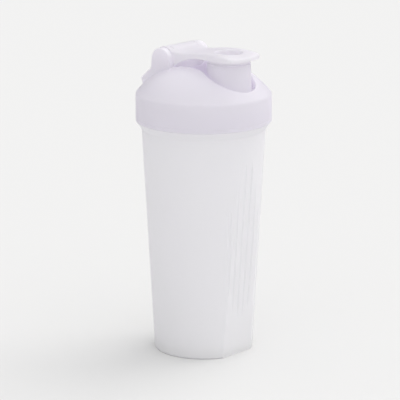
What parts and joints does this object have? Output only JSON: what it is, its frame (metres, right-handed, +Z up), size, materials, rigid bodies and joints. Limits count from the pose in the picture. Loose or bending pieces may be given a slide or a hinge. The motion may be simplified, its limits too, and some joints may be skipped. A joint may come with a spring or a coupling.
{
  "type": "shaker bottle",
  "caption": "Tapered plastic shaker bottle with a screw lid, hinged flip cap over a drinking spout, grip flutes on two flats, and a loose wire mixing ball inside.",
  "frame": {"origin": "centre of the cup's base, on the surface it stands on", "axes": "+Z up along the cup's axis, -Y towards the spout and front grip flat, +Y towards the hinge, X along the hinge axis"},
  "size_m": [0.098, 0.098, 0.2229],
  "materials": {
    "cup_plastic": "satin moulded polypropylene, very pale lilac",
    "lid_plastic": "satin moulded polypropylene, very pale lilac",
    "silicone": "translucent white silicone",
    "steel_wire": "polished stainless wire"
  },
  "bodies": {
    "cup": {"cup": "cup_plastic"},
    "lid_seal": {"lid_seal": "silicone"},
    "lid": {"lid": "lid_plastic"},
    "flip_cap": {"flip_cap": "lid_plastic", "spout_seal": "silicone"},
    "whisk_ball": {"whisk_ball": "steel_wire"}
  },
  "joints": [
    {"name": "lid_lift", "type": "slide", "parent": "cup", "child": "lid_seal", "axis": [0, 0, 1], "range_m": [0, 0.0075]},
    {"name": "lid_turn", "type": "hinge", "parent": "lid_seal", "child": "lid", "pos_m": [0, 0, 0.188], "axis": [0, 0, 1], "range_deg": [0, 541]},
    {"name": "cap_flip", "type": "hinge", "parent": "lid", "child": "flip_cap", "pos_m": [0, 0.0226, 0.2139], "axis": [-1, 0, 0], "range_deg": [0, 180]},
    {"name": "ball_travel", "type": "slide", "parent": "cup", "child": "whisk_ball", "axis": [0, 0, 1], "range_m": [0, 0.138]}
  ],
  "couplings": [
    {"joint": "lid_turn", "follows": "lid_lift", "rad_per_m": 1256.6}
  ]
}
